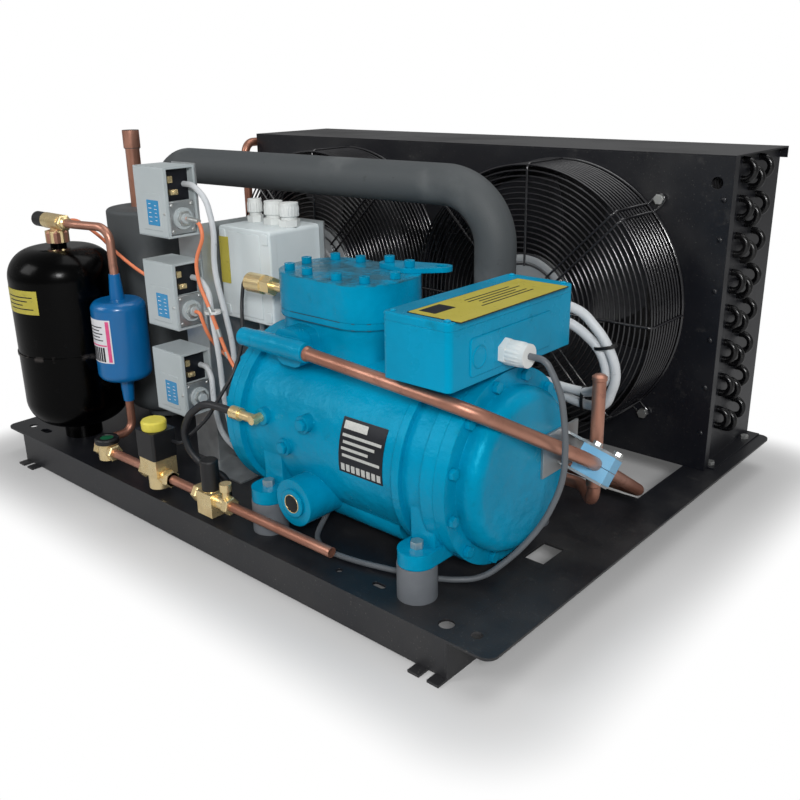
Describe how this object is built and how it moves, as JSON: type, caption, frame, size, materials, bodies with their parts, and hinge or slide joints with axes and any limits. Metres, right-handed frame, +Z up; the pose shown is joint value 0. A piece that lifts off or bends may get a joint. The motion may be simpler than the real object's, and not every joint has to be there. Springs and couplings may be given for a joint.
{
  "type": "refrigeration condensing unit",
  "caption": "Air-cooled condensing unit: semi-hermetic compressor, twin-fan condenser, receiver, suction accumulator and pressure controls on a black steel base.",
  "frame": {"origin": "middle of the bounding box, on the floor", "axes": "+X along the condenser to the terminal box end, +Y from the compressor towards the condenser, +Z up"},
  "size_m": [1, 0.778, 0.522],
  "materials": {
    "base_paint": "semi-gloss black powder coat",
    "compressor_paint": "semi-gloss turquoise enamel",
    "drier_paint": "blue enamel",
    "galvanised": "galvanised sheet",
    "zinc_bolt": "bright zinc plated",
    "copper": "drawn copper tube, slightly oxidised",
    "brass": "machined brass",
    "fin_aluminium": "plain fins",
    "motor_silver": "silver painted",
    "inner_steel": "machined steel",
    "winding_copper": "enamelled windings",
    "insulation": "closed-cell foam",
    "mount_rubber": "moulded rubber",
    "black_plastic": "matt",
    "white_plastic": "glossy",
    "grey_plastic": "light grey",
    "clamp_plastic": "light blue",
    "cable_grey": "grey sheath",
    "glass": "dark behind"
  },
  "bodies": {
    "root": {"bearing_cover": "compressor_paint", "brass_fittings": "brass", "cable_glands": "white_plastic", "capillary_tubes": "copper", "clamp_block": "clamp_plastic", "clamp_bracket": "galvanised", "coil_copper": "copper", "compressor_plate": "base_paint", "condenser_cover": "base_paint", "control_bracket": "galvanised", "control_cables": "cable_grey", "cover_bolts": "compressor_paint", "crankcase": "compressor_paint", "cylinder_head": "compressor_paint", "discharge_line": "copper", "discharge_valve": "compressor_paint", "end_plates": "galvanised", "fan_guard_left": "base_paint", "fan_guard_right": "base_paint", "fan_motors": "motor_silver", "fan_panel": "base_paint", "filter_drier": "drier_paint", "fin_block": "fin_aluminium", "frame_bolts": "zinc_bolt", "head_bolts": "compressor_paint", "junction_box": "grey_plastic", "junction_lid": "grey_plastic", "left_rail": "base_paint", "lifting_lug": "compressor_paint", "liquid_pipes": "copper", "liquid_receiver": "base_paint", "liquid_sight_glass": "brass", "motor_end_cover": "compressor_paint", "motor_stator": "winding_copper", "oil_sight_glass": "glass", "pistons": "inner_steel", "power_cables": "cable_grey", "pressure_controls": "grey_plastic", "receiver_valve": "brass", "right_rail": "base_paint", "riser_pipe": "copper", "rubber_mounts": "mount_rubber", "shutoff_valve": "brass", "solenoid_coil": "black_plastic", "solenoid_valve": "brass", "suction_accumulator": "insulation", "suction_line": "insulation", "suction_valve": "brass", "terminal_box": "compressor_paint", "terminal_lid": "compressor_paint", "valve_plate": "compressor_paint"},
    "left_fan": {"fan_rotor_left": "base_paint"},
    "right_fan": {"fan_rotor_right": "base_paint"},
    "crank": {"crankshaft": "inner_steel", "motor_rotor": "inner_steel"},
    "rod_1": {"connecting_rod_1": "inner_steel"},
    "rod_2": {"connecting_rod_2": "inner_steel"},
    "discharge_cap_body": {"discharge_cap": "compressor_paint"},
    "receiver_cap_body": {"receiver_cap": "black_plastic"},
    "shutoff_cap_body": {"shutoff_cap": "black_plastic"}
  },
  "joints": [
    {"name": "left_fan_spin", "type": "hinge", "parent": "root", "child": "left_fan", "pos_m": [-0.218, 0.1295, 0.275], "axis": [0, 1, 0], "continuous": true},
    {"name": "right_fan_spin", "type": "hinge", "parent": "root", "child": "right_fan", "pos_m": [0.218, 0.1295, 0.275], "axis": [0, 1, 0], "continuous": true},
    {"name": "crank_spin", "type": "hinge", "parent": "root", "child": "crank", "pos_m": [0.226, -0.214, 0.1775], "axis": [1, 0, 0], "continuous": true},
    {"name": "rod_1_hinge", "type": "hinge", "parent": "crank", "child": "rod_1", "pos_m": [0.125, -0.214, 0.1875], "axis": [1, 0, 0], "continuous": true},
    {"name": "rod_2_hinge", "type": "hinge", "parent": "crank", "child": "rod_2", "pos_m": [0.2, -0.214, 0.1675], "axis": [1, 0, 0], "continuous": true},
    {"name": "discharge_cap_turn", "type": "hinge", "parent": "root", "child": "discharge_cap_body", "pos_m": [0.08, -0.308, 0.292], "axis": [1, 0, 0], "continuous": true},
    {"name": "receiver_cap_turn", "type": "hinge", "parent": "root", "child": "receiver_cap_body", "pos_m": [-0.41, -0.306, 0.395], "axis": [1, 0, 0], "continuous": true},
    {"name": "shutoff_cap_turn", "type": "hinge", "parent": "root", "child": "shutoff_cap_body", "pos_m": [0.039, -0.358, 0.1], "axis": [0, 0, 1], "continuous": true}
  ],
  "couplings": [
    {"joint": "rod_1_hinge", "follows": "crank_spin", "ratio": -1},
    {"joint": "rod_2_hinge", "follows": "crank_spin", "ratio": -1}
  ]
}
